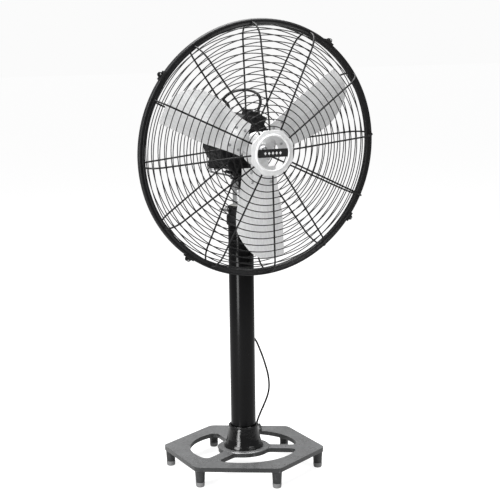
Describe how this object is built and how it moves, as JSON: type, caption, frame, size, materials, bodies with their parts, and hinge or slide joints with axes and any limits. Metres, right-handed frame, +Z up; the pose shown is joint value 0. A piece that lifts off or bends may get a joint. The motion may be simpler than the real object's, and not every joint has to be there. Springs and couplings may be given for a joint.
{
  "type": "pedestal fan",
  "caption": "Free-standing industrial pedestal fan: cast hexagonal base on feet, telescopic pole, tilting and oscillating motor head, metal blades in a wire guard.",
  "frame": {"origin": "on the pole axis at floor level", "axes": "+Z up, the fan blows towards -Y"},
  "size_m": [0.69, 0.6581, 1.2601],
  "materials": {
    "cast_grey": "grey hammertone enamel",
    "black_gloss": "glossy black enamel",
    "black_satin": "satin black paint",
    "wire_black": "black coated steel wire and strip",
    "aluminium": "pressed sheet",
    "pale_aluminium": "brushed, lightly bevelled",
    "steel": "zinc plated",
    "tube_grey": "grey metallic paint",
    "rubber": "moulded",
    "black_plastic": "moulded",
    "nylon": "natural nylon",
    "iron_core": "laminations and windings"
  },
  "bodies": {
    "base": {"base_casting": "cast_grey", "foot_1": "rubber", "foot_2": "rubber", "foot_3": "rubber", "foot_4": "rubber", "foot_5": "rubber", "foot_6": "rubber", "pole_flange": "steel", "base_bolt_1": "steel", "base_bolt_2": "steel", "base_bolt_3": "steel", "pole_cup": "black_gloss", "pole": "black_gloss", "collar": "black_satin", "collar_bush": "nylon", "cord_gland": "black_plastic", "cord_lead": "black_plastic", "cord_hank": "black_plastic", "cord_plug": "black_plastic"},
    "height_clamp": {"height_screw": "steel"},
    "mast": {"height_tube": "tube_grey", "tube_glide": "nylon", "tube_clevis": "tube_grey", "tilt_bolt": "steel"},
    "tilt_clamp": {"tilt_wing_nut": "steel"},
    "neck": {"neck_block": "black_satin", "swivel_pin": "steel"},
    "head": {"motor_cradle": "black_satin", "motor_housing": "black_satin", "motor_front_cap": "black_satin", "motor_rear_cap": "black_satin", "gear_cover": "black_satin", "stator": "iron_core", "front_bearing": "steel", "rear_bearing": "steel", "gear_housing": "black_satin", "terminal_box": "black_satin", "motor_lead": "black_plastic", "rear_guard": "wire_black", "front_guard": "wire_black", "rear_rim": "wire_black", "front_rim": "wire_black", "rim_clamp_1": "wire_black", "rim_clamp_2": "wire_black", "rim_clamp_3": "wire_black", "rim_clamp_4": "wire_black", "guard_plate": "black_satin", "badge_ring": "pale_aluminium", "badge_bar": "black_plastic"},
    "drive_crank": {"crank": "steel"},
    "drive_link": {"link_rod": "steel"},
    "oscillation_button": {"oscillation_knob": "black_plastic"},
    "speed_dial": {"speed_knob": "black_plastic"},
    "rotor_group": {"shaft": "steel", "rotor": "iron_core", "blade_1": "aluminium", "blade_2": "aluminium", "blade_3": "aluminium", "blade_hub": "aluminium", "hub_nut": "steel"}
  },
  "joints": [
    {"name": "height_slide", "type": "slide", "parent": "base", "child": "mast", "axis": [0, 0, 1], "range_m": [-0.025, 0.25]},
    {"name": "height_screw_turn", "type": "hinge", "parent": "base", "child": "height_clamp", "pos_m": [0, 0, 0.742], "axis": [1, 0, 0], "range_deg": [0, 180]},
    {"name": "tilt", "type": "hinge", "parent": "mast", "child": "neck", "pos_m": [0, 0, 0.812], "axis": [1, 0, 0], "range_deg": [-30, 2.5]},
    {"name": "tilt_nut_turn", "type": "hinge", "parent": "mast", "child": "tilt_clamp", "pos_m": [0, 0, 0.812], "axis": [1, 0, 0], "range_deg": [0, 180]},
    {"name": "oscillation", "type": "hinge", "parent": "neck", "child": "head", "pos_m": [0, 0, 0.812], "axis": [0, -0.0558, 0.9984], "range_deg": [-30, 30]},
    {"name": "crank_turn", "type": "hinge", "parent": "head", "child": "drive_crank", "pos_m": [-0.034, 0.08619, 0.84686], "axis": [0, -0.0558, 0.9984], "range_deg": [-50, 50]},
    {"name": "link_swing", "type": "hinge", "parent": "drive_crank", "child": "drive_link", "pos_m": [-0.0509, 0.08513, 0.8408], "axis": [0, -0.0558, 0.9984], "range_deg": [-50, 50]},
    {"name": "oscillation_knob_pull", "type": "slide", "parent": "head", "child": "oscillation_button", "axis": [0, -0.0558, 0.9984], "range_m": [0, 0.008]},
    {"name": "speed_knob_turn", "type": "hinge", "parent": "head", "child": "speed_dial", "pos_m": [0, -0.00614, 0.92183], "axis": [0, -0.9984, -0.0558], "range_deg": [0, 120]},
    {"name": "blade_spin", "type": "hinge", "parent": "head", "child": "rotor_group", "pos_m": [0, -0.00614, 0.92183], "axis": [0, -0.9984, -0.0558], "continuous": true}
  ],
  "couplings": [
    {"joint": "crank_turn", "follows": "oscillation", "ratio": -1.6},
    {"joint": "link_swing", "follows": "oscillation", "ratio": 1.52}
  ]
}
